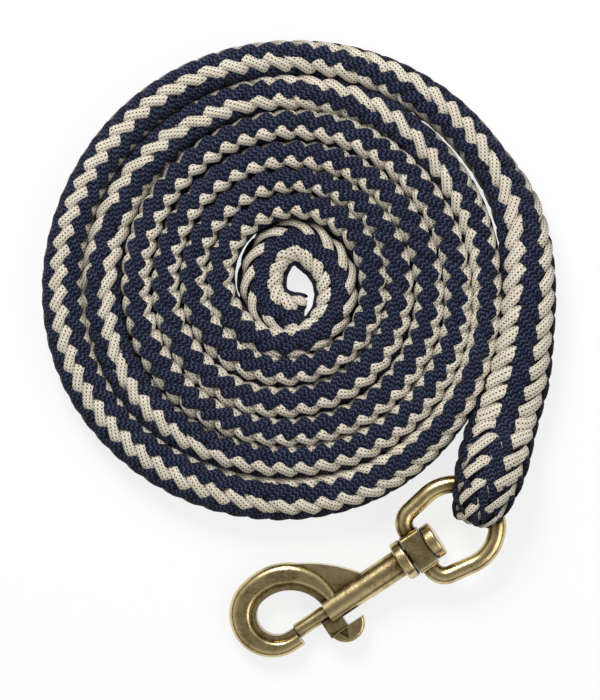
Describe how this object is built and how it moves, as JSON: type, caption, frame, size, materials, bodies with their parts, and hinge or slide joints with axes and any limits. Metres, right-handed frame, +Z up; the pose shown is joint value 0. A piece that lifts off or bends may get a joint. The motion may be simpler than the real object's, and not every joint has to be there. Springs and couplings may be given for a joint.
{
  "type": "lead rope with swivel bolt snap",
  "caption": "Braided lead rope wound into a flat coil, with a spliced eye that holds a swivel ring and a sliding bolt snap.",
  "frame": {"origin": "on the floor under the middle of the snap and its ring", "axes": "+Z up; +X along the longer side of the snap and ring's box, from the hook towards the ring; +Y towards the coil"},
  "size_m": [0.1843, 0.2245, 0.0237],
  "materials": {
    "brass_cast": "satin antique brass, dark in the recesses",
    "brass_bolt": "worn satin brass",
    "spring_steel": "drawn wire",
    "rope_braid": "soft two-colour braid, navy and beige"
  },
  "bodies": {
    "rope": {"rope_eye": "rope_braid", "rope_splice": "rope_braid", "rope_tail": "rope_braid", "rope_run": "rope_braid", "rope_coil": "rope_braid"},
    "ring": {"swivel_ring": "brass_cast"},
    "snap": {"snap_body": "brass_cast", "swivel_rivet": "brass_cast", "bolt_spring": "spring_steel"},
    "bolt_group": {"bolt": "brass_bolt", "thumb_piece": "brass_cast"}
  },
  "joints": [
    {"name": "ring_lift", "type": "hinge", "parent": "rope", "child": "ring", "pos_m": [0.03796, 0.02536, 0.01187], "axis": [-0.848, 0.5299, 0], "range_deg": [0, 110]},
    {"name": "snap_swivel", "type": "hinge", "parent": "ring", "child": "snap", "pos_m": [0.01506, 0.00367, 0.00925], "axis": [0.8261, 0.5572, 0.0839], "continuous": true},
    {"name": "bolt_slide", "type": "slide", "parent": "snap", "child": "bolt_group", "axis": [0.8261, 0.5572, 0.0839], "range_m": [0, 0.0125], "stiffness_N_per_m": 600, "springref_m": -0.005, "deforming": ["bolt_spring"]}
  ]
}
